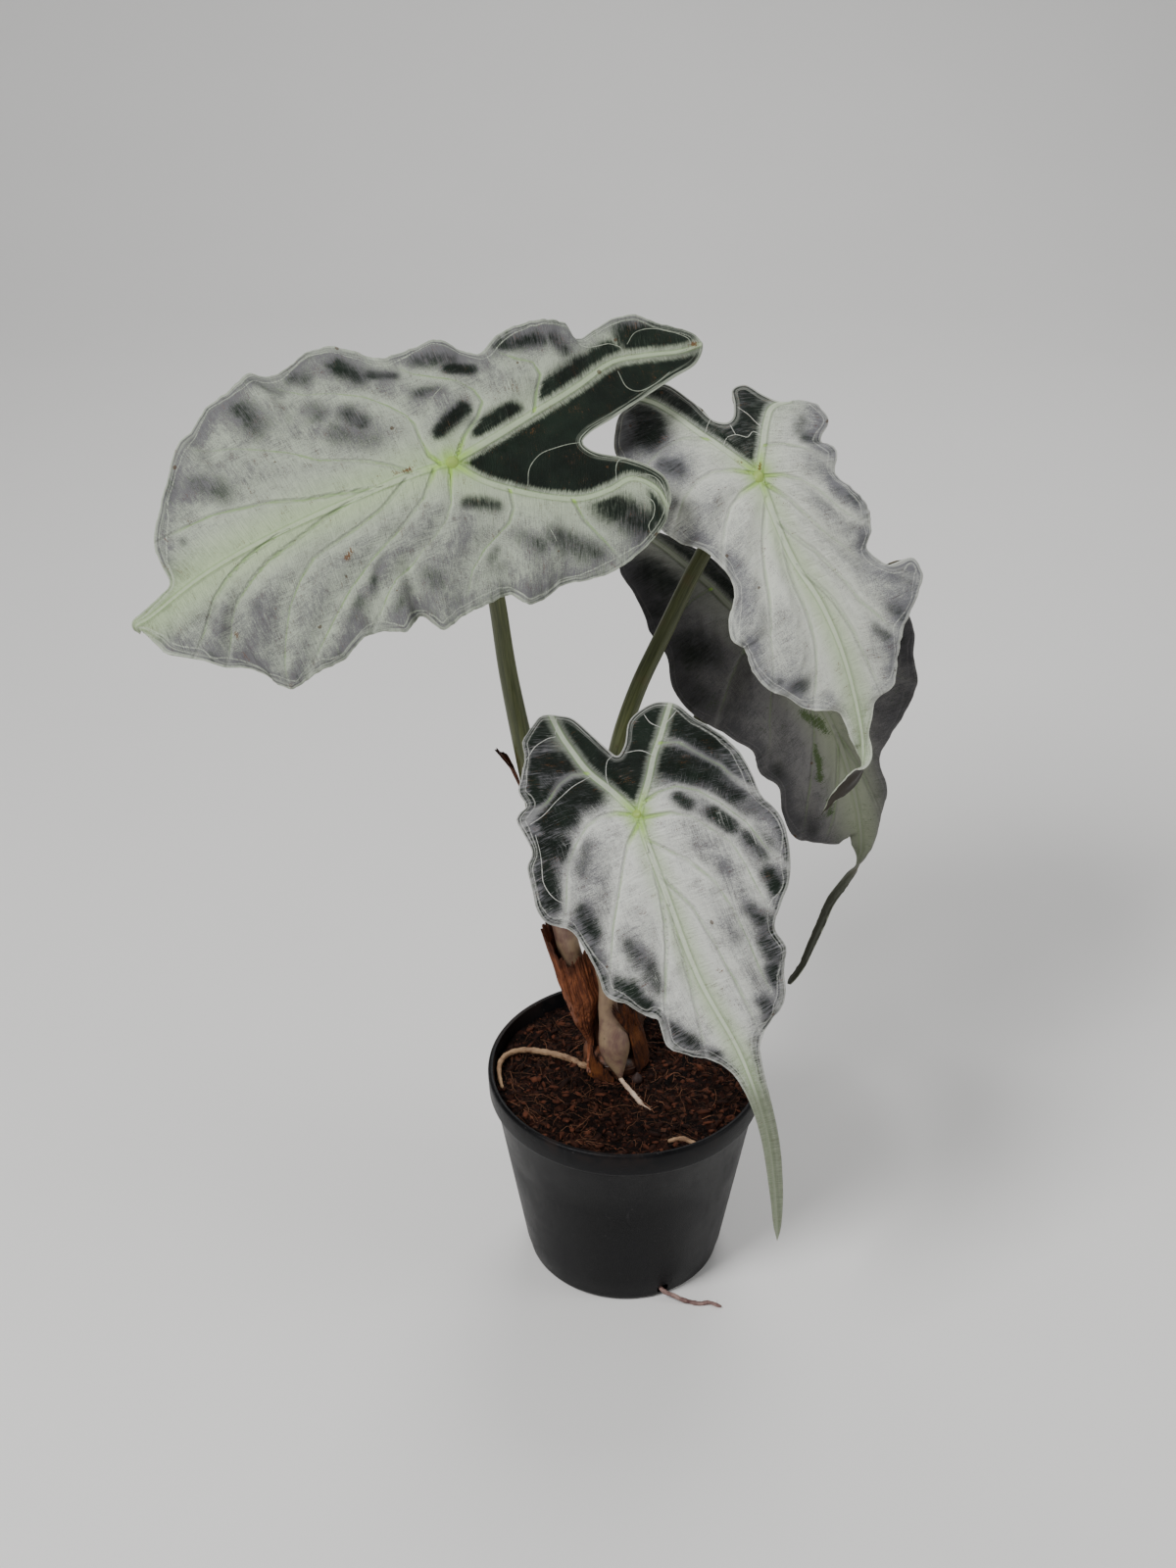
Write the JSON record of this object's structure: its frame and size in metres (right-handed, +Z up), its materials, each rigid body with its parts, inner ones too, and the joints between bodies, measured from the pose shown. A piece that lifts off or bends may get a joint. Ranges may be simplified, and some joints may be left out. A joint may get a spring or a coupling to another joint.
{
  "type": "potted venom alocasia",
  "caption": "House plant in a round nursery pot: silvery arrow-shaped leaves with dark green islands on arching stalks, dried sheaths, bare roots and coir soil.",
  "frame": {"origin": "middle of the pot's flat base, on the surface it stands on", "axes": "+Z up along the pot's axis; -Y towards the side from which the leaves are seen, +X to the right from there"},
  "size_m": [0.3033, 0.2224, 0.4225],
  "materials": {
    "blade": "silvery mint with white veins and dark green islands, olive below, satin",
    "stalk": "olive green, tan at the foot, satin",
    "stem": "brown and cream, matte",
    "sheath": "dry papery orange brown, matte",
    "root": "cream to tan, matte",
    "soil": "dark coir and peat, rough",
    "pot": "black moulded plastic, satin at the rim"
  },
  "bodies": {
    "root": {"blade_left": "blade", "stalk_left": "stalk", "blade_front": "blade", "stalk_front": "stalk", "blade_right": "blade", "stalk_right": "stalk", "blade_rear": "blade", "stalk_rear": "stalk", "stem": "stem", "sheath_funnel": "sheath", "sheath_side": "sheath", "sheath_foot": "sheath", "sheath_scrap": "sheath", "root_arching": "root", "root_white": "root", "root_small": "root", "root_on_table": "root", "bud": "root", "soil": "soil", "pot": "pot"}
  },
  "joints": []
}
